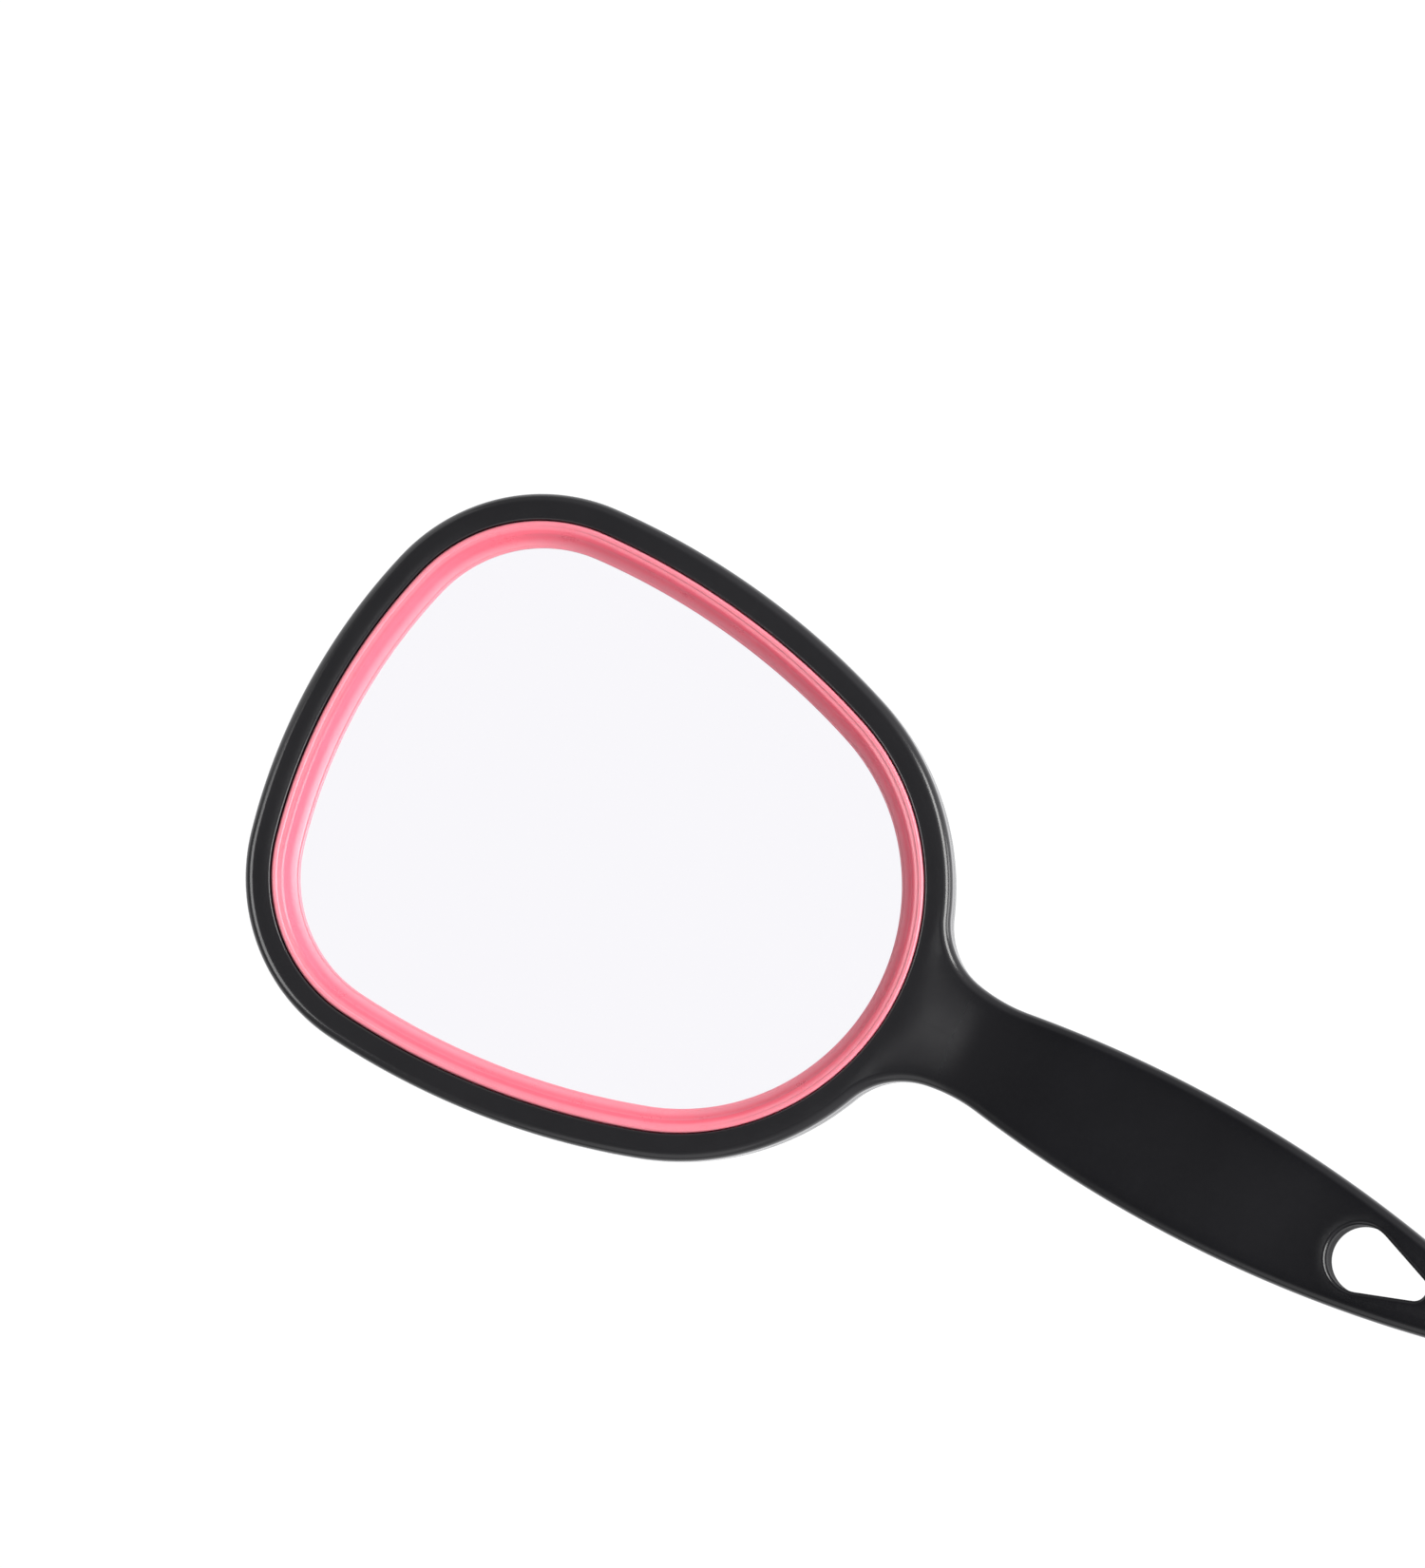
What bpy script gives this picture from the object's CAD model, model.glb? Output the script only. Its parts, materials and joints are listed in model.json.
"""Hand mirror: a satin black two-part shell with a pink bezel ring round a silvered pane.

It stands upright in its frame: X runs across, Z up with the handle pointing down, and the mirror
faces -Y. The outlines and mesh sections are in millimetres; the scene and materials in metres.
"""

import json
import math

import bpy
import numpy as np
from mathutils import Matrix, Vector
from mathutils.geometry import delaunay_2d_cdt

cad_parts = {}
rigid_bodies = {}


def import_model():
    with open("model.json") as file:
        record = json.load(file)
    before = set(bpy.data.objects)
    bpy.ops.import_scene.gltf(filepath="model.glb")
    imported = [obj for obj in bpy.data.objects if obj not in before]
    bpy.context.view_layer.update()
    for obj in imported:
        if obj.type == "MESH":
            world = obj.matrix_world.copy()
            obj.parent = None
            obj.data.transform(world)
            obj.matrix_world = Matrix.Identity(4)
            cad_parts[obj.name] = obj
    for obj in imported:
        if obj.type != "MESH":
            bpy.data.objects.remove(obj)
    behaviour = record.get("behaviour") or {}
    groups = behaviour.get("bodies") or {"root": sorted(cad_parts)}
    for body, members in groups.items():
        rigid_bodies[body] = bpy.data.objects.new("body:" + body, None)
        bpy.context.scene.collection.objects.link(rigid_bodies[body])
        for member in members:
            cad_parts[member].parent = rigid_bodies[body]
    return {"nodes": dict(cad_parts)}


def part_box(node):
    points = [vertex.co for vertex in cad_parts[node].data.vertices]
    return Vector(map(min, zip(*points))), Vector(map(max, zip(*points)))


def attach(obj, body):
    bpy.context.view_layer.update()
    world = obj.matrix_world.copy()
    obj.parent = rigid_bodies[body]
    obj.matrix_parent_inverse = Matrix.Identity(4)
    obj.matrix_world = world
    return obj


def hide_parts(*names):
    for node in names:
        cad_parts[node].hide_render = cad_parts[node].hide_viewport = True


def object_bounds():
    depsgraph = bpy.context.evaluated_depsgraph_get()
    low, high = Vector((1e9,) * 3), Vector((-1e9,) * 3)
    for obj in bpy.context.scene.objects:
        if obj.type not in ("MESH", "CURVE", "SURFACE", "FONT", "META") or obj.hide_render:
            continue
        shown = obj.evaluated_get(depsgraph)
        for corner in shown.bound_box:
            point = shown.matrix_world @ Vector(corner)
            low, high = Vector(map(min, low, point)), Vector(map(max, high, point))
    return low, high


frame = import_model()
cad_lo, cad_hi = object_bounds()
nodes = frame["nodes"]
scene = bpy.context.scene


# ------------------------------------------------------------------ node trees
class Shader:
    """The node tree of a material or world, with short calls for its nodes."""

    def __init__(self, owner, output):
        owner.use_nodes = True
        self.owner = owner
        self.tree = owner.node_tree
        self.tree.nodes.clear()
        self.output = self.node(output)
        self.position = None

    def node(self, kind, **inputs):
        """New node; underscores in input names stand for spaces."""
        node = self.tree.nodes.new("ShaderNode" + kind)
        for name, value in inputs.items():
            self.feed(node, name.replace("_", " "), value)
        return node

    def feed(self, node, key, value):
        """Links or sets one input, found by name or index."""
        socket = node.inputs[key]
        if isinstance(value, bpy.types.NodeSocket):
            self.tree.links.new(value, socket)
        elif isinstance(value, tuple) and socket.type == "RGBA":
            socket.default_value = (*value, 1.0)
        else:
            socket.default_value = value

    def shader(self, kind, **inputs):
        return self.node(kind, **inputs).outputs[0]

    def math(self, operation, a, b=None):
        node = self.node("Math")
        node.operation = operation
        self.feed(node, 0, a)
        if b is not None:
            self.feed(node, 1, b)
        return node.outputs[0]

    def add(self, a, b):
        return self.math("ADD", a, b)

    def times(self, value, by):
        return self.math("MULTIPLY", value, by)

    def dot(self, a, b):
        node = self.node("VectorMath")
        node.operation = "DOT_PRODUCT"
        self.feed(node, 0, a)
        self.feed(node, 1, b)
        return node.outputs["Value"]

    def xyz(self, vector):
        node = self.node("SeparateXYZ")
        self.feed(node, 0, vector)
        return node.outputs

    def ramp(self, value, over=(0.3, 0.7), to=(0.0, 1.0), smooth=True):
        """Maps the span `over` onto the span `to`, clamped at both ends."""
        node = self.node("MapRange", Value=value, From_Min=over[0], From_Max=over[1],
                         To_Min=to[0], To_Max=to[1])
        node.interpolation_type = "SMOOTHSTEP" if smooth else "LINEAR"
        return node.outputs[0]

    def place(self):
        if self.position is None:
            self.position = self.node("NewGeometry").outputs["Position"]
        return self.position

    def stretched(self, scale):
        return self.node("Mapping", Vector=self.place(), Scale=scale).outputs["Vector"]

    def noise(self, scale, detail=3.0, rough=0.5, vector=None, distortion=0.0):
        if vector is None:
            vector = self.place()
        node = self.node("TexNoise", Scale=scale, Detail=detail, Roughness=rough,
                         Distortion=distortion, Vector=vector)
        return node.outputs["Fac"]

    def mix(self, amount, a, b):
        """Blend of two colours."""
        node = self.node("Mix")
        node.data_type = "RGBA"
        for index, value in ((0, amount), (6, a), (7, b)):
            self.feed(node, index, value)
        return node.outputs[2]

    def mix_shader(self, amount, a, b):
        node = self.node("MixShader")
        for index, value in enumerate((amount, a, b)):
            self.feed(node, index, value)
        return node.outputs[0]

    def bump(self, height, distance, strength, normal=None):
        node = self.node("Bump", Strength=strength, Distance=distance, Height=height)
        if normal is not None:
            self.feed(node, "Normal", normal)
        return node.outputs["Normal"]

    def edges(self, radius, over):
        """One at sharp edges, where a rounded normal leaves the true one."""
        bevel = self.node("Bevel", Radius=radius)
        bevel.samples = 4
        true = self.node("NewGeometry").outputs["Normal"]
        return self.ramp(self.dot(bevel.outputs[0], true), over=over, to=(1.0, 0.0))

    def surface(self, shader):
        self.feed(self.output, "Surface", shader)
        return self.owner


def new_material(name):
    return Shader(bpy.data.materials.new(name), "OutputMaterial")


# ------------------------------------------------------------------ materials
def black_plastic(name, grain, rough):
    """Satin moulding: spark grain, faint flow clouds, hairline scratches, rubbed edges."""
    tint = (0.0054, 0.0054, 0.0066)
    tint_pale = tuple(c * 1.35 for c in tint)
    head_colour = (0.0208, 0.0204, 0.0224)
    edge_colour = (0.030, 0.030, 0.033)
    m = new_material(name)
    flow = m.noise(scale=42.0, detail=4.0, rough=0.55)
    cloud = m.noise(scale=130.0, rough=0.6)
    fine = m.noise(scale=grain, detail=2.0, rough=0.6)
    micro = m.noise(scale=grain * 3.1, detail=1.0)
    # hairline scratches: thin stretched noise ridges in two directions
    ridges_x = m.noise(scale=900.0, detail=2.0, vector=m.stretched((0.06, 1.0, 1.6)),
                       distortion=0.4)
    ridges_z = m.noise(scale=800.0, detail=2.0, vector=m.stretched((1.5, 1.0, 0.05)),
                       distortion=0.5)
    scratch = m.math("MAXIMUM", m.ramp(ridges_x, over=(0.685, 0.72)),
                     m.ramp(ridges_z, over=(0.69, 0.73)))
    edge = m.edges(radius=0.0007, over=(0.86, 0.995))
    worn = m.times(edge, by=m.ramp(cloud, over=(0.38, 0.62), to=(0.15, 1.0)))

    # the grip is rubbed darker than the head
    place = m.xyz(m.place())
    chalk = m.ramp(place["Z"], over=(-0.068, -0.040), to=(0.0, 0.8))
    chalk = m.times(chalk, by=m.ramp(cloud, to=(0.85, 1.0)))
    base = m.mix(m.ramp(flow), tint, tint_pale)
    base = m.mix(chalk, base, head_colour)
    base = m.mix(m.times(worn, by=0.35), base, edge_colour)

    roughness = m.add(rough, m.ramp(flow, over=(0.25, 0.75), to=(-0.02, 0.03), smooth=False))
    roughness = m.add(roughness, m.ramp(fine, to=(-0.02, 0.02), smooth=False))
    roughness = m.math("SUBTRACT", roughness, m.times(worn, by=0.03))
    roughness = m.add(roughness, m.times(scratch, by=0.03))
    # the wall inside the hanging hole is dull
    sides = m.ramp(m.math("ABSOLUTE", place["X"]), over=(0.0047, 0.0050), to=(1.0, 0.0))
    length = m.times(m.ramp(place["Z"], over=(-0.1108, -0.1104), to=(1.0, 0.0)),
                     by=m.ramp(place["Z"], over=(-0.1264, -0.1260)))
    depth = m.times(m.ramp(place["Y"], over=(-0.0067, -0.0063)),
                    by=m.ramp(place["Y"], over=(-0.0010, -0.0006), to=(1.0, 0.0)))
    dull = m.times(m.times(sides, by=length), by=depth)
    roughness = m.add(roughness, m.times(dull, by=0.35))

    normal = m.bump(m.add(fine, m.times(micro, by=0.5)), distance=0.00003, strength=0.06)
    normal = m.bump(flow, distance=0.0003, strength=0.02, normal=normal)
    normal = m.bump(scratch, distance=0.000006, strength=0.10, normal=normal)
    return m.surface(m.shader("BsdfPrincipled", Base_Color=base, Roughness=roughness,
                              Normal=normal, IOR=1.46,
                              Specular_IOR_Level=m.ramp(dull, over=(0.0, 1.0), to=(0.5, 0.04))))


def pink_plastic():
    """Semi-gloss, faintly translucent moulding with soft flow marks and rubbed ridges."""
    pink, pink_pale = (0.93, 0.140, 0.208), (0.95, 0.158, 0.230)
    land_colour, toe_colour, edge_colour = (0.98, 0.44, 0.51), (0.97, 0.43, 0.50), (0.97, 0.42, 0.50)
    base_rough = 0.30
    face_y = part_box("front_frame")[0].y
    m = new_material("pink_ring")
    flow = m.noise(scale=60.0, detail=4.0, rough=0.55)
    fine = m.noise(scale=5200.0, detail=2.0, rough=0.55)
    cloud = m.noise(scale=210.0, rough=0.6)
    edge = m.edges(radius=0.00025, over=(0.90, 0.995))
    base = m.mix(m.ramp(flow), pink, pink_pale)
    # the proud land is rubbed paler, and so is the toe behind it
    y = m.xyz(m.place())["Y"]
    land = m.ramp(y, over=(face_y + 0.00034, face_y + 0.00055), to=(1.0, 0.0))
    base = m.mix(m.times(land, by=m.ramp(cloud, to=(0.40, 0.46))), base, land_colour)
    toe = m.ramp(y, over=(face_y + 0.0016, face_y + 0.0028), to=(0.0, 0.55))
    base = m.mix(toe, base, toe_colour)
    base = m.mix(m.times(edge, by=0.10), base, edge_colour)
    roughness = m.add(base_rough, m.ramp(cloud, to=(-0.03, 0.03), smooth=False))
    roughness = m.add(roughness, m.ramp(fine, to=(-0.02, 0.02), smooth=False))
    normal = m.bump(fine, distance=0.00002, strength=0.06)
    normal = m.bump(flow, distance=0.0001, strength=0.01, normal=normal)
    return m.surface(m.shader(
        "BsdfPrincipled", Base_Color=base, Roughness=roughness, Normal=normal, IOR=1.5,
        Subsurface_Weight=0.25, Subsurface_Radius=(1.0, 0.35, 0.4), Subsurface_Scale=0.0007,
        Specular_IOR_Level=0.42, Coat_Weight=0.06, Coat_Roughness=0.14))


def pane_glass():
    """Silvered glass: an even mirror with faint smears, a little dust, a pale green ground edge."""
    broad_from = 0.9      # |Y| of the normal above which a face is a broad one, not the edge
    m = new_material("glass")
    smear = m.noise(scale=26.0, detail=5.0, rough=0.6, distortion=0.8)
    wipe = m.noise(scale=300.0, vector=m.stretched((0.10, 1.0, 1.0)), distortion=0.3)
    dust = m.ramp(m.noise(scale=2600.0, detail=1.0, rough=0.4), over=(0.80, 0.84))
    film = m.times(m.ramp(smear, over=(0.45, 0.75)),
                   by=m.ramp(wipe, over=(0.4, 0.7), to=(0.2, 1.0)))
    silver = m.shader("BsdfAnisotropic", Color=(0.955, 0.955, 0.965), Roughness=0.0)
    ground = m.shader("BsdfPrincipled", Base_Color=(0.62, 0.78, 0.72), Roughness=0.45)
    haze = m.shader("BsdfDiffuse", Color=(0.9, 0.9, 0.92))
    mirror = m.mix_shader(m.add(m.times(film, by=0.012), m.times(dust, by=0.05)), silver, haze)
    # light gathered from the mirror by the plastics is taken as an even pale room
    path = m.node("LightPath").outputs
    seen = m.math("MAXIMUM", path["Is Camera Ray"], path["Is Singular Ray"])
    even = m.shader("BsdfDiffuse", Color=(0.62, 0.60, 0.62))
    face = m.mix_shader(seen, even, mirror)
    normal_y = m.xyz(m.node("NewGeometry").outputs["True Normal"])["Y"]
    broad = m.math("GREATER_THAN", m.math("ABSOLUTE", normal_y), broad_from)
    return m.surface(m.mix_shader(broad, ground, face))


def silver_coat():
    m = new_material("silver_coat")
    flow = m.noise(scale=120.0)
    base = m.mix(flow, (0.93, 0.93, 0.94), (0.96, 0.96, 0.97))
    return m.surface(m.shader("BsdfPrincipled", Base_Color=base, Metallic=1.0,
                              Roughness=m.ramp(flow, to=(0.01, 0.03))))


def foam():
    m = new_material("foam")
    cell = m.node("TexVoronoi", Scale=2600.0, Vector=m.place()).outputs["Distance"]
    base = m.mix(m.ramp(cell, over=(0.1, 0.6)), (0.55, 0.55, 0.53), (0.78, 0.78, 0.76))
    return m.surface(m.shader("BsdfPrincipled", Base_Color=base, Roughness=0.9,
                              Normal=m.bump(cell, distance=0.0002, strength=0.5)))


def zinc():
    m = new_material("screw_steel")
    fine = m.noise(scale=3500.0, rough=0.6)
    cloud = m.noise(scale=500.0, rough=0.6)
    base = m.mix(m.ramp(cloud), (0.46, 0.46, 0.48), (0.62, 0.61, 0.60))
    return m.surface(m.shader("BsdfPrincipled", Base_Color=base, Metallic=1.0,
                              Roughness=m.ramp(fine, to=(0.24, 0.42)),
                              Normal=m.bump(fine, distance=0.00002, strength=0.3)))


looks = {
    "front_frame": black_plastic("black_shell", grain=5200.0, rough=0.19),
    "back_cover": black_plastic("black_shell_rear", grain=4200.0, rough=0.26),
    "bezel_ring": pink_plastic(),
    "mirror_glass": pane_glass(),
    "mirror_silvering": silver_coat(),
    "foam_pads": foam(),
    "case_screws": zinc(),
}
for name, part in nodes.items():
    if not part.material_slots:
        part.data.materials.append(looks[name])
    for slot in part.material_slots:
        slot.link = "OBJECT"
        slot.material = looks[name]

# ------------------------------------------------------------------ dimensions (millimetres)
MM = 1000                                      # millimetres in a metre
RIM = 3.8                                      # width of the frame round the head
ROUND = 1.4                                    # rounding of the front outer edge
GAP, LIP = 0.15, 0.3                           # play round the ring, rounding of the opening
Y_FACE, Y_BACK = cad_lo.y * MM, cad_hi.y * MM
Y_SPLIT = Y_FACE + 2.9                         # parting plane between the two shells
Y_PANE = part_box("mirror_glass")[0].y * MM      # front face of the glass
Y_COAT, Y_COAT_BACK = (corner.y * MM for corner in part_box("mirror_silvering"))
SEAT_OUT, SEAT_DEPTH = 1.05, 2.2               # seat of the ring's flange, from opening and face
PART_IN, PART_RISE = 0.10, 0.12                # bevel at the parting line
HOLE_BEVEL = 0.06                              # the same inside the hanging hole
SCREW_Z = (-60.0, -82.0, -104.0)

# The outlines are chains of tangent arcs. R_ is a radius, C_ the (x, z) centre of the arc on the
# right (+X), A_ the bearing in degrees at which two neighbouring arcs meet.
REACH = cad_hi.z * MM - RIM                    # top of the opening
HALF = cad_hi.x * MM - RIM                     # half-width of the opening
R_CROWN, R_SHOULDER, R_FLANK, R_CHIN = 78.0, 22.4, 107.0, 33.0
R_NECK, R_WAIST, R_BELLY, R_TIP = 10.6, 23.5, 185.0, 5.25
W_WAIST, W_BELLY, Z_BELLY = 7.22, 9.5, -88.0   # handle half-widths and its widest height
# The hanging hole is a tear: a wide bow above, a narrow one below
HOLE_Z, HOLE_R, HOLE_Z2, HOLE_R2 = -115.6, 4.5, -123.8, 1.7
LOOP_STEP, HOLE_STEP = 0.4, 0.25               # longest spacing of points along arcs


# ------------------------------------------------------------------ outlines
def solve(misfit, guess):
    """Newton's method with a numerical Jacobian."""
    nudge = 1e-7
    x = np.array(guess, float)
    for _ in range(60):
        f = np.array(misfit(x))
        if np.abs(f).max() < 1e-12:
            break
        jacobian = np.zeros((len(x), len(x)))
        for j in range(len(x)):
            moved = x.copy()
            moved[j] += nudge
            jacobian[:, j] = (np.array(misfit(moved)) - f) / nudge
        x = x - np.linalg.solve(jacobian, f)
    return x


def bearing(a, b):
    return math.degrees(math.atan2(b[1] - a[1], b[0] - a[0])) % 360.0


C_CROWN, C_CHIN = np.array([0, REACH - R_CROWN]), np.array([0, R_CHIN - REACH])
X_FLANK = HALF - R_FLANK
# unknowns: shoulder centre x and z, flank centre z
side_fit = solve(
    lambda p: [math.hypot(p[0] - C_CROWN[0], p[1] - C_CROWN[1]) - (R_CROWN - R_SHOULDER),
               math.hypot(p[0] - X_FLANK, p[1] - p[2]) - (R_FLANK - R_SHOULDER),
               math.hypot(X_FLANK - C_CHIN[0], p[2] - C_CHIN[1]) - (R_FLANK - R_CHIN)],
    guess=[14.4, 19.8, 13.2])
C_SHOULDER, C_FLANK = np.array([side_fit[0], side_fit[1]]), np.array([X_FLANK, side_fit[2]])
C_BELLY = np.array([W_BELLY - R_BELLY, Z_BELLY])
X_WAIST = W_WAIST + R_WAIST
C_WAIST = np.array([X_WAIST, Z_BELLY + math.sqrt((R_BELLY + R_WAIST) ** 2
                                                 - (X_WAIST - C_BELLY[0]) ** 2)])
C_TIP = np.array([0, Z_BELLY - math.sqrt((R_BELLY - R_TIP) ** 2 - C_BELLY[0] ** 2)])
C_NECK = solve(
    lambda p: [math.hypot(p[0] - C_CHIN[0], p[1] - C_CHIN[1]) - (R_CHIN + RIM + R_NECK),
               math.hypot(p[0] - C_WAIST[0], p[1] - C_WAIST[1]) - (R_WAIST - R_NECK)],
    guess=[16.0, -53.6])

A_CROWN_SHOULDER, A_SHOULDER_FLANK = bearing(C_CROWN, C_SHOULDER), bearing(C_FLANK, C_SHOULDER)
A_FLANK_CHIN, A_CHIN_NECK = bearing(C_FLANK, C_CHIN) - 360, bearing(C_CHIN, C_NECK) - 360
A_NECK_CHIN, A_NECK_WAIST = bearing(C_NECK, C_CHIN), bearing(C_WAIST, C_NECK)
A_WAIST_BELLY = bearing(C_WAIST, C_BELLY)
A_BELLY_WAIST, A_BELLY_TIP = bearing(C_BELLY, C_WAIST), bearing(C_BELLY, C_TIP) - 360


def both(centre, radius, low, high, convex=True):
    """An arc (centre, radius, from, to, convex) on the right and its mirror image."""
    left_centre = np.array([-centre[0], centre[1]])
    return (centre, radius, low, high, convex), (left_centre, radius, 180 - high, 180 - low, convex)


def spokes(angles):
    return np.stack([np.cos(angles), np.sin(angles)], 1)


def sample(arcs):
    """Points and outward normals round a closed chain of tangent arcs."""
    points, normals = [], []
    for centre, radius, low, high, convex in arcs:
        count = max(3, int(math.ceil(abs(math.radians(high - low)) * radius / LOOP_STEP)))
        ends = (low, high) if convex else (high, low)
        out = spokes(np.radians(np.linspace(*ends, count + 1)[:-1]))
        points.append(centre + radius * out)
        normals.append(out if convex else -out)
    return np.concatenate(points), np.concatenate(normals)


def upper_arcs(grow):
    """Right flank over the crown to the left flank, offset outwards."""
    flank, flank_left = both(C_FLANK, R_FLANK + grow, A_FLANK_CHIN, A_SHOULDER_FLANK)
    shoulder, shoulder_left = both(C_SHOULDER, R_SHOULDER + grow, A_SHOULDER_FLANK,
                                   A_CROWN_SHOULDER)
    crown = (C_CROWN, R_CROWN + grow, A_CROWN_SHOULDER, 180 - A_CROWN_SHOULDER, True)
    return [flank, shoulder, crown, shoulder_left, flank_left]


def head_loop():
    """The opening in the head."""
    chin = (C_CHIN, R_CHIN, 180 - A_FLANK_CHIN, 360 + A_FLANK_CHIN, True)
    return sample(upper_arcs(0) + [chin])


def whole_loop():
    """The outer edge of head and handle."""
    chin, chin_left = both(C_CHIN, R_CHIN + RIM, A_CHIN_NECK, A_FLANK_CHIN)
    neck, neck_left = both(C_NECK, R_NECK, A_NECK_CHIN, A_NECK_WAIST, False)
    waist, waist_left = both(C_WAIST, R_WAIST, A_NECK_WAIST, A_WAIST_BELLY, False)
    belly, belly_left = both(C_BELLY, R_BELLY, A_BELLY_TIP, A_BELLY_WAIST)
    tip = (C_TIP, R_TIP, 180 - A_BELLY_TIP, 360 + A_BELLY_TIP, True)
    return sample(upper_arcs(RIM) + [chin_left, neck_left, waist_left, belly_left, tip,
                                     belly, waist, neck, chin])


def hole_loop():
    """Tear-shaped hole; the normals point away from its middle."""
    lean = math.asin((HOLE_R - HOLE_R2) / (HOLE_Z - HOLE_Z2))
    upper, lower = np.array([0, HOLE_Z]), np.array([0, HOLE_Z2])
    points, normals = [], []

    def bow(centre, radius, start, end):
        count = max(6, int(abs(end - start) * radius / HOLE_STEP))
        out = spokes(np.linspace(start, end, count + 1))
        points.append(centre + radius * out)
        normals.append(out)

    def line(start, end, normal, parts=24):
        along = np.linspace(0, 1, parts + 1)[1:-1, None]
        points.append(start + (end - start) * along)
        normals.append(np.repeat(normal[None], parts - 1, 0))

    bow(upper, HOLE_R, -lean, math.pi + lean)
    left = np.array([-math.cos(lean), -math.sin(lean)])
    line(upper + HOLE_R * left, lower + HOLE_R2 * left, left)
    bow(lower, HOLE_R2, math.pi + lean, 2 * math.pi - lean)
    right_side = np.array([math.cos(lean), -math.sin(lean)])
    line(lower + HOLE_R2 * right_side, upper + HOLE_R * right_side, right_side)
    return np.concatenate(points), np.concatenate(normals)


def circle(z, radius, count=72):
    out = spokes(np.linspace(0, 2 * math.pi, count, endpoint=False))
    return np.array([0, z]) + radius * out, out


def offset(loop, s):
    """Points of a loop moved s along its normals."""
    return loop[0] + s * loop[1]


HEAD, WHOLE, HOLE = head_loop(), whole_loop(), hole_loop()


# ------------------------------------------------------------------ front surface
IN_DROP, IN_RUN = 0.15, 1.9                    # fall towards the ring
OUT_DROP, OUT_RUN = 0.10, 2.6                  # fall towards the outer edge
HOLE_DROP, HOLE_RUN = 0.06, 1.6                # fall towards the hanging hole
NECK_DROP, NECK_TOP, NECK_RUN = 0.55, -45.8, 11.0        # step down at the neck
CROWN_DROP, CROWN_TOP, CROWN_RUN = 0.16, -52.0, 12.0     # crown along the handle
CROWN_MARGIN = 0.4                             # added to the half-width the crown spans
NECK_CROWN, NECK_CROWN_HALF = 0.0034, 9        # crown across the neck: drop per mm squared, reach
NECK_CROWN_TOP, NECK_CROWN_TOP_RUN = -43.5, 6.5
NECK_CROWN_LOW, NECK_CROWN_LOW_RUN = -61.0, 8.0
TAIL_RISE, TAIL_TOP, TAIL_RUN = 0.22, -104.0, 26.0


def distance(q, loop):
    """Signed distance of each point along the normal of the nearest loop point."""
    points, normals = loop
    result = np.empty(len(q))
    for i in range(0, len(q), 512):
        part = q[i:i + 512]
        j = ((part[:, None, :] - points[None]) ** 2).sum(2).argmin(1)
        result[i:i + 512] = ((part - points[j]) * normals[j]).sum(1)
    return result


def smooth01(t):
    t = np.clip(t, 0, 1)
    return t * t * (3 - 2 * t)


def half_width(z):
    """Half-width of the handle at a height."""
    waist = X_WAIST - np.sqrt(np.maximum(R_WAIST ** 2 - (z - C_WAIST[1]) ** 2, 1))
    belly = C_BELLY[0] + np.sqrt(np.maximum(R_BELLY ** 2 - (z - Z_BELLY) ** 2, 1))
    z_turn = C_WAIST[1] + (C_BELLY[1] - C_WAIST[1]) * R_WAIST / (R_WAIST + R_BELLY)
    return np.where(z > z_turn, waist, np.maximum(belly, 2.0))


def face_depth(q):
    """How far the satin front surface lies behind the front plane."""
    def fall(drop, gap, run):
        return drop * np.clip(1 - gap / run, 0, 1) ** 2

    x, z = q[:, 0], q[:, 1]
    depth = fall(IN_DROP, distance(q, HEAD), IN_RUN) + fall(OUT_DROP, -distance(q, WHOLE), OUT_RUN)
    depth = depth + fall(HOLE_DROP, distance(q, HOLE), HOLE_RUN)
    depth = depth + NECK_DROP * smooth01((NECK_TOP - z) / NECK_RUN)
    across = np.clip(np.abs(x / (half_width(z) + CROWN_MARGIN)), 0, 1)
    depth = depth + CROWN_DROP * smooth01((CROWN_TOP - z) / CROWN_RUN) * across ** 2
    # the neck is faintly crowned across its middle
    depth = depth + (NECK_CROWN * np.clip(np.abs(x), 0, NECK_CROWN_HALF) ** 2
                     * smooth01((NECK_CROWN_TOP - z) / NECK_CROWN_TOP_RUN)
                     * smooth01((z - NECK_CROWN_LOW) / NECK_CROWN_LOW_RUN))
    # the tail end comes forward again
    return depth - TAIL_RISE * smooth01((TAIL_TOP - z) / TAIL_RUN)


def face_y(q):
    return Y_FACE + face_depth(q)


def gradient(height, e):
    """Function giving the slope of a height field in x and z, by central differences."""
    def slope(q):
        gx = (height(q + [e, 0]) - height(q - [e, 0])) / (2 * e)
        gz = (height(q + [0, e]) - height(q - [0, e])) / (2 * e)
        return np.stack([gx, gz], 1)

    return slope


face_slope = gradient(face_depth, 0.02)


def tangent(loop, s, height, slope):
    """Height of a surface round an offset loop, and its unit tangent (s, y) along the normals."""
    q = offset(loop, s)
    y = height(q)
    rise = (slope(q) * loop[1]).sum(1)
    size = np.sqrt(1 + rise * rise)
    return y, 1 / size, rise / size


# ------------------------------------------------------------------ mesh building
NEAR = [(a, b, c) for a in (-1, 0, 1) for b in (-1, 0, 1) for c in (-1, 0, 1)
        if (a, b, c) != (0, 0, 0)]
WELD = 5000 / MM * MM                          # welding cells in a millimetre
ARC_HANDLE = 0.5523                            # Bezier handle of a quarter circle of radius one


def clearance(q, points):
    """Distance of each point of q from the nearest of some others."""
    gaps = np.empty(len(q))
    for i in range(0, len(q), 256):
        gaps[i:i + 256] = np.sqrt(((q[i:i + 256, None] - points[None]) ** 2).sum(2).min(1))
    return gaps


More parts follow.
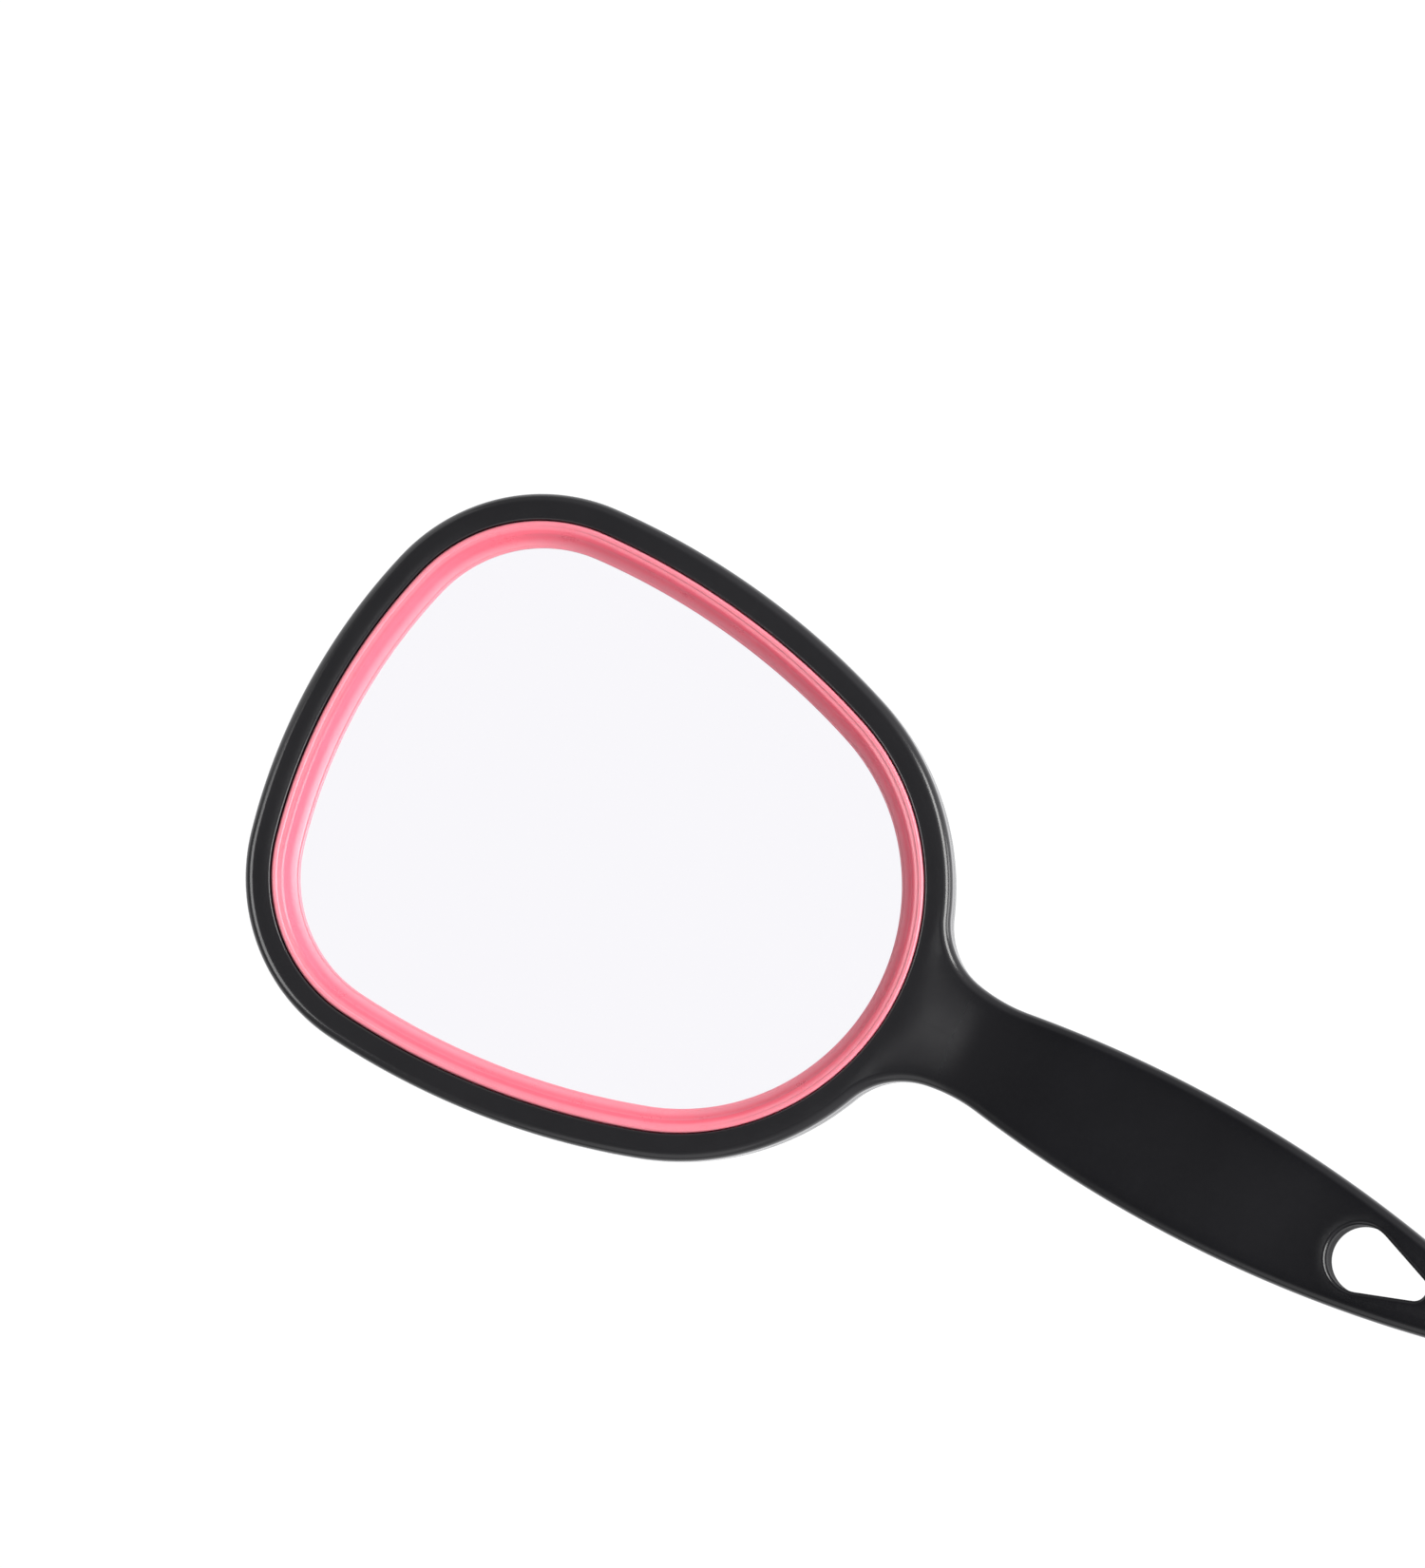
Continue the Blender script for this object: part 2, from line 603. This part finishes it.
def within(q, loops):
    """Even-odd test against every outline at once."""
    inside = np.zeros(len(q), bool)
    for a in loops:
        b = np.roll(a, -1, 0)
        dz = b[:, 1] - a[:, 1]
        dz = np.where(dz == 0, 1e-12, dz)
        for i in range(0, len(q), 1024):
            x, z = q[i:i + 1024, 0:1], q[i:i + 1024, 1:2]
            cross = (a[None, :, 1] > z) != (b[None, :, 1] > z)
            edge_x = (b[:, 0] - a[:, 0])[None] * (z - a[None, :, 1]) / dz[None] + a[None, :, 0]
            inside[i:i + 1024] ^= ((cross & (x < edge_x)).sum(1) % 2).astype(bool)
    return inside


class Build:
    """Collects welded quads and triangles with a normal for every corner.

    Sections are drawn in (s, y): s is the offset along a loop's normals, y the depth axis.
    """

    def __init__(self):
        self.verts, self.index, self.faces, self.normals = [], {}, [], []

    def ids(self, points):
        """Vertex numbers of some points, welded to those in the same or a touching cell."""
        out = []
        for p in points:
            key = (round(p[0] * WELD), round(p[1] * WELD), round(p[2] * WELD))
            i = self.index.get(key)
            if i is None:
                for d in NEAR:
                    i = self.index.get((key[0] + d[0], key[1] + d[1], key[2] + d[2]))
                    if i is not None:
                        break
            if i is None:
                i = self.index[key] = len(self.verts)
                self.verts.append((p[0] * 0.001, p[1] * 0.001, p[2] * 0.001))
            out.append(i)
        return out

    def add(self, ids, normals):
        """One face, without the corners that welding has merged."""
        pairs = [(i, n) for k, (i, n) in enumerate(zip(ids, normals)) if i not in ids[:k]]
        if len(pairs) > 2:
            self.faces.append([p[0] for p in pairs])
            self.normals.append([p[1] for p in pairs])

    def strip(self, loop, s, y, normal_s, normal_y, flip=False):
        """Quads between successive rings; one row a ring, scalar or one value a loop point."""
        points, out = loop
        m = len(points)
        rings, norms = [], []
        for row in zip(s, y, normal_s, normal_y):
            rs, ry, ns, ny = (np.broadcast_to(np.asarray(v, float), (m,)) for v in row)
            q = points + rs[:, None] * out
            rings.append(self.ids(np.stack([q[:, 0], ry, q[:, 1]], 1).tolist()))
            w = np.stack([ns * out[:, 0], ny, ns * out[:, 1]], 1)
            w /= np.linalg.norm(w, axis=1)[:, None]
            norms.append(w.tolist())
        for j in range(len(rings) - 1):
            for i in range(m):
                k = (i + 1) % m
                face = [rings[j][i], rings[j][k], rings[j + 1][k], rings[j + 1][i]]
                w = [norms[j][i], norms[j][k], norms[j + 1][k], norms[j + 1][i]]
                if flip:
                    face, w = face[::-1], w[::-1]
                self.add(face, w)

    def line(self, loop, a, b, flip=False):
        """Straight strip between two section points."""
        ds = np.asarray(b[0], float) - np.asarray(a[0], float)
        dy = np.asarray(b[1], float) - np.asarray(a[1], float)
        sign = -1.0 if flip else 1.0
        self.strip(loop, [a[0], b[0]], [a[1], b[1]], [sign * -dy] * 2, [sign * ds] * 2, flip)

    def path(self, loop, section):
        """Straight strips through a list of section points."""
        for a, b in zip(section, section[1:]):
            self.line(loop, a, b)

    def bezier(self, loop, a, leave, b, arrive, steps):
        """Rounded strip from a, leaving along one tangent, to b, arriving along another."""
        reach = np.maximum(np.abs(np.asarray(b[0], float) - a[0]),
                           np.abs(np.asarray(b[1], float) - a[1])) * ARC_HANDLE
        places, speeds = ([], []), ([], [])
        for axis in (0, 1):
            p0, p3 = np.asarray(a[axis], float), np.asarray(b[axis], float)
            p1 = p0 + leave[axis] * reach
            p2 = p3 - arrive[axis] * reach
            for t in np.linspace(0, 1, steps + 1):
                u = 1 - t
                places[axis].append(u ** 3 * p0 + 3 * u * u * t * p1 + 3 * u * t * t * p2
                                    + t ** 3 * p3)
                speeds[axis].append(3 * u * u * (p1 - p0) + 6 * u * t * (p2 - p1)
                                    + 3 * t * t * (p3 - p2))
        self.strip(loop, *places, [-dy for dy in speeds[1]], speeds[0])

    def cap(self, outer, holes, height, slope, facing, grid, extra=None):
        """Fills between closed outlines; height gives y, slope its gradient.

        facing is -1 towards the front, 1 towards the back. Inner points come from a triangular
        grid, if one is wanted, and from extra points, which clear the grid around them.
        """
        loops = [outer] + holes
        points = np.concatenate(loops)
        edges, first = [], 0
        for lp in loops:
            n = len(lp)
            edges += [(first + i, first + (i + 1) % n) for i in range(n)]
            first += n
        inner = np.zeros((0, 2))
        if grid:
            low, high = outer.min(0), outer.max(0)
            gx = np.arange(low[0] - grid / 2, high[0], grid)
            gz = np.arange(low[1] - grid / 2, high[1], grid * 0.866)
            xx, zz = np.meshgrid(gx, gz)
            xx = xx + (np.arange(len(gz)) % 2)[:, None] * grid / 2
            q = np.stack([xx.ravel(), zz.ravel()], 1)
            q = q[within(q, loops)]
            inner = q[clearance(q, points) > grid * 0.45]
        if extra is not None:
            q = extra[within(extra, loops)]
            q = q[clearance(q, points) > 0.09]
            inner = np.concatenate([inner[clearance(inner, q) > grid * 0.4], q])
        given = np.concatenate([points, inner])
        flat = [Vector((float(a), float(b))) for a, b in given]
        coords, _, tris, origins, *_ = delaunay_2d_cdt(flat, edges, [], 0, 1e-6)
        xz = np.array([given[o[0]] if o else (c[0], c[1]) for o, c in zip(origins, coords)])
        keep = within(np.array([xz[list(t)].mean(0) for t in tris]), loops)
        y = height(xz)
        g = slope(xz)
        ids = self.ids(np.stack([xz[:, 0], y, xz[:, 1]], 1).tolist())
        # surface y = f(x, z); a normal along -Y is (fx, -1, fz)
        normals = np.stack([g[:, 0], -np.ones(len(xz)), g[:, 1]], 1) * (1 if facing < 0 else -1)
        normals /= np.linalg.norm(normals, axis=1)[:, None]
        normals = normals.tolist()
        for t, kept in zip(tris, keep):
            if not kept:
                continue
            t = list(t)
            a, b, c = xz[t[0]], xz[t[1]], xz[t[2]]
            area = (b[0] - a[0]) * (c[1] - a[1]) - (b[1] - a[1]) * (c[0] - a[0])
            # counter-clockwise in x, z gives a normal along -Y
            if (area > 0) != (facing < 0):
                t = t[::-1]
            self.add([ids[i] for i in t], [normals[i] for i in t])

    def flat(self, outer, holes, y, facing, grid=None):
        self.cap(outer, holes, lambda q: np.full(len(q), float(y)),
                 lambda q: np.zeros((len(q), 2)), facing, grid)

    def finish(self, name, material):
        mesh = bpy.data.meshes.new(name)
        mesh.from_pydata(self.verts, [], self.faces)
        mesh.update()
        for p in mesh.polygons:
            p.use_smooth = True
        mesh.normals_split_custom_set([n for face in self.normals for n in face])
        mesh.materials.append(material)
        piece = bpy.data.objects.new(name, mesh)
        scene.collection.objects.link(piece)
        return piece


# ------------------------------------------------------------------ front frame
def make_front(material):
    groove_in, groove_out, groove_depth = 1.75, 2.55, 1.2
    hole_round = 0.6
    pilot_radius, pilot_depth = 0.86, 1.1
    b = Build()
    # outer edge: a hairline bevel at the parting line, straight wall, then the front rounding
    top, run, rise = tangent(WHOLE, -ROUND, face_y, face_slope)
    b.path(WHOLE, [(-PART_IN, Y_SPLIT), (0.0, Y_SPLIT - PART_RISE), (0.0, top + ROUND)])
    b.bezier(WHOLE, (0.0, top + ROUND), (0.0, -1.0), (-ROUND, top), (-run, -rise), steps=12)
    # opening: lip rounding, wall, hidden seat for the ring's flange, groove
    y_lip, run, rise = tangent(HEAD, GAP + LIP, face_y, face_slope)
    b.bezier(HEAD, (GAP + LIP, y_lip), (-run, -rise), (GAP, y_lip + LIP), (0.0, 1.0), steps=7)
    y_seat, y_groove = Y_FACE + SEAT_DEPTH, Y_SPLIT - groove_depth
    b.path(HEAD, [(GAP, y_lip + LIP), (GAP, y_seat), (SEAT_OUT, y_seat), (SEAT_OUT, Y_SPLIT),
                  (groove_in, Y_SPLIT), (groove_in, y_groove), (groove_out, y_groove),
                  (groove_out, Y_SPLIT)])
    # hanging hole: front rounding, wall
    y_hole, run, rise = tangent(HOLE, hole_round, face_y, face_slope)
    b.bezier(HOLE, (hole_round, y_hole), (-run, -rise), (0.0, y_hole + hole_round), (0.0, 1.0),
             steps=8)
    b.path(HOLE, [(0.0, y_hole + hole_round), (0.0, Y_SPLIT - HOLE_BEVEL), (HOLE_BEVEL, Y_SPLIT)])
    # face
    b.cap(offset(WHOLE, -ROUND), [offset(HEAD, GAP + LIP), offset(HOLE, hole_round)],
          face_y, face_slope, facing=-1, grid=0.9)
    # parting face, with a pilot hole for each screw
    pilots = [circle(z, pilot_radius, 24) for z in SCREW_Z]
    b.flat(offset(WHOLE, -PART_IN),
           [offset(HEAD, groove_out), offset(HOLE, HOLE_BEVEL)] + [p[0] for p in pilots],
           Y_SPLIT, facing=1, grid=3.0)
    for p in pilots:
        b.line(p, (0.0, Y_SPLIT), (0.0, Y_SPLIT - pilot_depth), flip=True)
        b.flat(p[0], [], Y_SPLIT - pilot_depth, facing=1)
    return b.finish("front_frame_shell", material)


# ------------------------------------------------------------------ rear shell
def make_rear(material):
    draft = math.radians(5)                      # lean of the outer wall
    radius = 1.8                                 # back rounding
    hole_round = 0.35
    recess_radius, recess_depth, recess_round = 2.15, 1.7, 0.15
    clear_radius = 1.15
    tongue_in, tongue_out, tongue_height = 1.8, 2.5, 1.1
    fence_out, fence_in = 0.1, -0.9              # fence that the glass rests on
    floor_gap = 0.8                              # from the silvering to the pocket floor
    tan, cos, sin = math.tan(draft), math.cos(draft), math.sin(draft)
    centre = -(-radius - Y_SPLIT) * tan - radius / cos      # s of the rounding's centre
    b = Build()

    def back_y(q):
        t = np.clip(distance(q, WHOLE) - centre, 0, radius * 0.9999)
        return Y_BACK - radius + np.sqrt(radius * radius - t * t)

    back_slope = gradient(back_y, 0.01)

    # outer wall leans in to the flat back, with a hairline bevel at the parting line;
    # wall and rounding are laid out for a back in the plane y = 0
    start = (-PART_RISE * tan, Y_SPLIT + PART_RISE)
    b.line(WHOLE, start, (-PART_IN, Y_SPLIT))
    b.strip(WHOLE, [centre + radius * cos, start[0]], [-radius + radius * sin, start[1]],
            [cos, cos], [sin, sin])
    arc = np.radians([66.0, 70.0, 74.0, 78.0, 82.0, 85.0])      # outer part of the rounding
    b.strip(WHOLE, centre + radius * np.sin(arc), -radius + radius * np.cos(arc),
            np.sin(arc), np.cos(arc))
    # back face: the rest of the rounding, flat inside it, rounded mouths at recesses and hole
    recesses = [circle(z, recess_radius) for z in SCREW_Z]
    inner_arc = np.radians([0, 8, 16, 24, 32, 40, 48, 55, 61])
    rings = np.concatenate([offset(WHOLE, centre + radius * math.sin(a)) for a in inner_arc])
    b.cap(offset(WHOLE, centre + radius * math.sin(arc[0])),
          [offset(HOLE, hole_round)] + [offset(r, recess_round) for r in recesses],
          back_y, back_slope, facing=1, grid=1.6, extra=rings)
    y_hole, run, rise = tangent(HOLE, hole_round, back_y, back_slope)
    b.bezier(HOLE, (0.0, y_hole - hole_round), (0.0, 1.0), (hole_round, y_hole), (run, rise),
             steps=6)
    b.line(HOLE, (0.0, Y_SPLIT + HOLE_BEVEL), (0.0, y_hole - hole_round))
    b.line(HOLE, (HOLE_BEVEL, Y_SPLIT), (0.0, Y_SPLIT + HOLE_BEVEL))
    clear = [circle(z, clear_radius, 36) for z in SCREW_Z]
    y_recess, y_mouth = Y_BACK - recess_depth, Y_BACK - recess_round
    for recess, hole in zip(recesses, clear):
        b.bezier(recess, (0.0, y_mouth), (0.0, 1.0), (recess_round, Y_BACK), (1.0, 0.0), steps=4)
        b.line(recess, (0.0, y_recess), (0.0, y_mouth))
        b.flat(recess[0], [hole[0]], y_recess, facing=1)
        b.line(hole, (0.0, Y_SPLIT), (0.0, y_recess))
    # inside: parting face, tongue, pocket for the glass, fence
    b.flat(offset(WHOLE, -PART_IN),
           [offset(HEAD, tongue_out), offset(HOLE, HOLE_BEVEL)] + [h[0] for h in clear],
           Y_SPLIT, facing=-1, grid=3.0)
    y_tongue, y_floor = Y_SPLIT - tongue_height, Y_COAT_BACK + floor_gap
    b.path(HEAD, [(tongue_out, Y_SPLIT), (tongue_out, y_tongue), (tongue_in, y_tongue),
                  (tongue_in, Y_SPLIT), (SEAT_OUT, Y_SPLIT), (SEAT_OUT, y_floor),
                  (fence_out, y_floor), (fence_out, Y_PANE), (fence_in, Y_PANE),
                  (fence_in, y_floor)])
    b.flat(offset(HEAD, fence_in), [], y_floor, facing=-1, grid=4.0)
    return b.finish("rear_shell", material)


# ------------------------------------------------------------------ bezel ring
# Section corners (depth behind the face, s), flange first. Where the side to the next corner
# is an arc, its radius follows, and 1 or -1 for the side its centre is on.
RING_SECTION = [
    (3.1, 1.0), (2.2, 1.0), (2.2, 0.0),
    (0.50, 0.0, 0.42, 1), (0.14, -0.32, 0.9, 1), (0.19, -0.60, 0.2, 1),
    (0.30, -0.73, 0.2, -1), (0.36, -0.88, 1.6, 1), (0.66, -1.55, 0.54, 1),
    (0.90, -1.74, 4.2, -1), (2.72, -3.05, 0.3, 1),
    (2.95, -3.4), (3.1, -3.4),
]
RING_SMOOTH = math.cos(math.radians(38))       # sides that turn less than this are shaded as one
RING_SPLIT = 0.15                              # straight sides longer than this are halved


def arc_points(start, end, radius, side, count=8):
    """Arc between two points, without its end; side 1 puts the centre on the left."""
    start, end = np.array(start, float), np.array(end, float)
    chord = end - start
    half = np.linalg.norm(chord) / 2
    rise = math.sqrt(max(radius * radius - half * half, 0))
    centre = (start + end) / 2 + side * (np.array([-chord[1], chord[0]]) / (2 * half)) * rise
    a0, a1 = math.atan2(*(start - centre)[::-1]), math.atan2(*(end - centre)[::-1])
    while side * (a1 - a0) < 0:
        a1 += side * 2 * math.pi
    return [tuple(centre + radius * np.array([math.cos(a), math.sin(a)]))
            for a in np.linspace(a0, a1, count + 1)[:-1]]


def make_ring(material):
    points = []
    for c, d in zip(RING_SECTION, RING_SECTION[1:] + RING_SECTION[:1]):
        if len(c) > 2:
            points += arc_points(c[:2], d[:2], c[2], c[3])
        else:
            parts = 2 if math.dist(c[:2], d[:2]) > RING_SPLIT else 1
            points += [(c[0] + (d[0] - c[0]) * j / parts, c[1] + (d[1] - c[1]) * j / parts)
                       for j in range(parts)]
    section = np.array([(s, Y_FACE + depth) for depth, s in points])
    along = np.roll(section, -1, 0) - section
    along /= np.linalg.norm(along, axis=1)[:, None]
    out = np.stack([-along[:, 1], along[:, 0]], 1)          # outward normal of each side
    if (out * (section - section.mean(0))).sum() < 0:
        out = -out
    b = Build()
    for i in range(len(section)):
        j = (i + 1) % len(section)
        start = end = out[i]
        if (out[i - 1] * out[i]).sum() > RING_SMOOTH:
            start = out[i - 1] + out[i]
        if (out[j] * out[i]).sum() > RING_SMOOTH:
            end = out[j] + out[i]
        ds, dy = section[j] - section[i]
        flip = -dy * out[i][0] + ds * out[i][1] < 0
        b.strip(HEAD, [section[i][0], section[j][0]], [section[i][1], section[j][1]],
                [start[0], end[0]], [start[1], end[1]], flip)
    return b.finish("ring_moulding", material)


# ------------------------------------------------------------------ glass
def make_pane(material):
    chamfer = 0.3
    edge = -1.0                                  # s of the pane's edge
    front, back = Y_PANE, Y_COAT - 0.01          # a hair clear of the silvering
    b = Build()
    b.path(HEAD, [(edge, back - chamfer), (edge, front + chamfer), (edge - chamfer, front)])
    b.line(HEAD, (edge - chamfer, back), (edge, back - chamfer))
    b.flat(offset(HEAD, edge - chamfer), [], front, facing=-1, grid=6.0)
    b.flat(offset(HEAD, edge - chamfer), [], back, facing=1, grid=6.0)
    return b.finish("mirror_pane", material)


for make, node, slot_name in ((make_front, "front_frame", "black_shell"),
                              (make_rear, "back_cover", "black_shell_rear"),
                              (make_ring, "bezel_ring", "pink_ring"),
                              (make_pane, "mirror_glass", "glass")):
    piece = make(looks[node])
    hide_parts(node)
    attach(piece, "root")


# ------------------------------------------------------------------ floor
def floor_material():
    """Pale matt floor that fades to white far out and can't be seen from below."""
    m = new_material("floor")
    geometry = m.node("NewGeometry").outputs
    place = m.xyz(geometry["Position"])
    radius = m.math("SQRT", m.add(m.times(place["X"], by=place["X"]),
                                  m.times(place["Y"], by=place["Y"])))
    fade = m.ramp(radius, over=(0.35, 1.6))
    grain = m.ramp(m.noise(scale=90.0))
    matt = m.shader("BsdfDiffuse", Color=m.mix(grain, (0.88, 0.88, 0.885), (0.90, 0.90, 0.905)))
    glow = m.shader("Emission", Color=(1.0, 1.0, 1.0), Strength=1.0)
    upper = m.mix_shader(fade, matt, glow)
    return m.surface(m.mix_shader(geometry["Backfacing"], upper, m.shader("BsdfTransparent")))


FLOOR_SIZE, FLOOR_GAP = 8.0, 0.0001            # metres; the gap is below the handle's tip
floor_look = floor_material()
bpy.ops.mesh.primitive_plane_add(size=FLOOR_SIZE, location=(0, 0, cad_lo.z - FLOOR_GAP))
floor = bpy.context.object
floor.name = "floor"
floor.data.materials.append(floor_look)
for ray in ("diffuse", "glossy", "transmission", "volume_scatter", "shadow"):
    setattr(floor, "visible_" + ray, False)

# ------------------------------------------------------------------ view axes
TILT = math.radians(12.0)                      # how far the view looks up at the mirror
ROLL = math.radians(28.55)                     # camera roll from a level handle
handle_way = Vector((0, math.sin(TILT), -math.cos(TILT)))      # down the handle, across the view
side_way = Vector((-1, 0, 0))
right = math.cos(ROLL) * handle_way - math.sin(ROLL) * side_way
down = math.sin(ROLL) * handle_way + math.cos(ROLL) * side_way
into = Vector((0, math.cos(TILT), math.sin(TILT)))
out_of = -into
mirror_way = Vector((0, -math.cos(TILT), math.sin(TILT)))      # what the flat faces reflect


# ------------------------------------------------------------------ world
def make_world():
    """Soft surround for the plastics, an even pale room for the glass, white for the camera."""
    front_base, front_key = 0.42, 0.45         # level in front, and more towards the key side
    card_level = 0.25                          # share left by the dark card
    behind_level = 1.45                        # level behind the object
    world = bpy.data.worlds.new("studio")
    scene.world = world
    w = Shader(world, "OutputWorld")
    ray = w.node("TexCoord").outputs["Generated"]

    def towards(direction):
        return w.dot(ray, direction.normalized())

    front = w.add(front_base, w.ramp(towards(right), over=(-0.3, 0.9), to=(0.0, front_key)))
    # a dark card where the flat faces mirror the room
    card_edges = (math.cos(math.radians(48)), math.cos(math.radians(14)))
    front = w.times(front, by=w.ramp(towards(mirror_way), over=card_edges, to=(1.0, card_level)))
    behind = w.ramp(towards(into), over=(0.0, 0.40))
    level = w.add(w.times(front, by=w.math("SUBTRACT", 1.0, behind)),
                  w.times(behind, by=behind_level))
    soft = w.shader("Background", Color=(0.985, 0.985, 1.0), Strength=level)
    white = w.shader("Background", Color=(1.0, 1.0, 1.0), Strength=1.05)
    plain = w.shader("Background", Color=(0.985, 0.975, 1.0), Strength=1.0)
    path = w.node("LightPath").outputs
    room = w.mix_shader(path["Is Singular Ray"], soft, plain)
    w.surface(w.mix_shader(path["Is Camera Ray"], room, white))


make_world()


# ------------------------------------------------------------------ lights
def softbox(name, direction, distance, size, power, colour=(1, 1, 1), target=(0, 0, -0.03)):
    """Rectangular light; its width runs outwards from the view's axis, its height across that."""
    light = bpy.data.lights.new(name, "AREA")
    light.shape = "RECTANGLE"
    light.size, light.size_y = size
    light.energy = power
    light.color = colour
    lamp = bpy.data.objects.new(name, light)
    scene.collection.objects.link(lamp)
    d = Vector(direction).normalized()
    across = d.cross(out_of).normalized()
    lamp.location = Vector(target) + d * distance
    lamp.rotation_mode = "QUATERNION"
    lamp.rotation_quaternion = Matrix((across.cross(d), across, d)).transposed().to_quaternion()
    return lamp


def off_axis(azimuth, tilt):
    """Direction tilted from the camera's axis; azimuth runs clockwise from the view's right."""
    a, t = math.radians(azimuth), math.radians(tilt)
    return (right * math.cos(a) + down * math.sin(a)) * math.sin(t) + out_of * math.cos(t)


softbox("key", off_axis(azimuth=-12, tilt=46), distance=1.0, size=(0.36, 1.00), power=13.5,
        colour=(1.0, 0.995, 0.98))
softbox("side", off_axis(azimuth=5, tilt=80), distance=1.1, size=(0.4, 0.9), power=6.0,
        colour=(1.0, 0.995, 0.99))
softbox("low", off_axis(azimuth=110, tilt=62), distance=1.2, size=(0.8, 0.8), power=1.6)
glint = softbox("glint", off_axis(azimuth=182, tilt=56), distance=1.0, size=(0.42, 0.62),
                power=5.0)
glint.visible_diffuse = False                  # only a soft sheen, no fill
softbox("top", direction=(0.2, -0.3, 1.0), distance=1.3, size=(0.9, 0.9), power=2.3)
softbox("rear", direction=(-0.5, 0.9, 0.45), distance=1.3, size=(0.8, 0.8), power=2.4)

# ------------------------------------------------------------------ camera
VIEW_WIDTH = 0.21072797                        # metres seen across the object
VIEW_RIGHT, VIEW_UP = 0.0137931, 0.008659      # aim, from the middle of the face plane
CAMERA_DISTANCE = 1.5
SENSOR = 36.0
cam_data = bpy.data.cameras.new("camera")
cam_data.sensor_width = SENSOR
cam_data.lens = SENSOR * CAMERA_DISTANCE / VIEW_WIDTH
cam_data.clip_start, cam_data.clip_end = 0.01, 50.0
cam = bpy.data.objects.new("camera", cam_data)
scene.collection.objects.link(cam)
aim = Vector((0, cad_lo.y, 0)) + right * VIEW_RIGHT - down * VIEW_UP
cam.location = aim - into * CAMERA_DISTANCE
cam.rotation_mode = "QUATERNION"
cam.rotation_quaternion = Matrix((right, -down, -into)).transposed().to_quaternion()
scene.camera = cam

# a small soft light mirrored by the steepest part of the fall at the neck
spot = Vector((0.0, cad_lo.y, -0.0510))
lean = math.atan(1.5 * NECK_DROP / NECK_RUN)   # a smooth step is steepest at 1.5 times its mean
facing = Vector((0.0, -math.cos(lean), -math.sin(lean)))
look = (spot - cam.location).normalized()
softbox("neck", look - 2 * look.dot(facing) * facing, distance=3.0, size=(0.24, 0.20),
        power=0.50, target=spot)
scene.view_settings.view_transform = "Standard"
scene.view_settings.look = "None"
